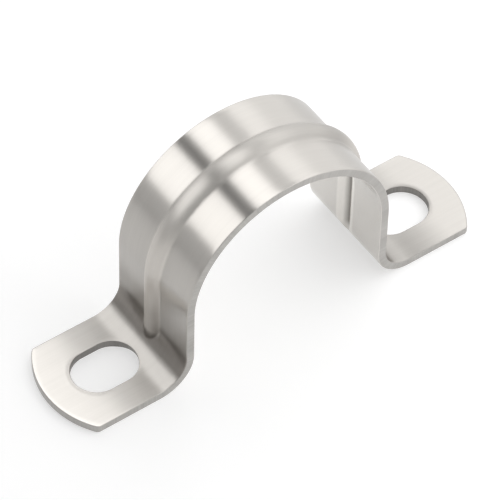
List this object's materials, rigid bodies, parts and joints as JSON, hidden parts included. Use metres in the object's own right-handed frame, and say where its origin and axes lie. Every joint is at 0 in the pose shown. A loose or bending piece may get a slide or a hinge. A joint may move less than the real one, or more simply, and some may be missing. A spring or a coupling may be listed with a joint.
{
  "type": "conduit strap",
  "caption": "Two-ear saddle strap of folded stainless sheet that holds a 35 mm conduit against a wall, with a pressed stiffening rib and slotted ears.",
  "frame": {"origin": "middle of the mounting plane, midway between the two ears, which is the centre of the box's bottom face", "axes": "+X along the strap from ear to ear, +Y along the conduit's axis, +Z away from the wall the strap is screwed to"},
  "size_m": [0.077, 0.0186, 0.0359],
  "materials": {
    "strap_steel": "satin stainless, grained along the strap"
  },
  "bodies": {
    "root": {"strap": "strap_steel"}
  },
  "joints": []
}
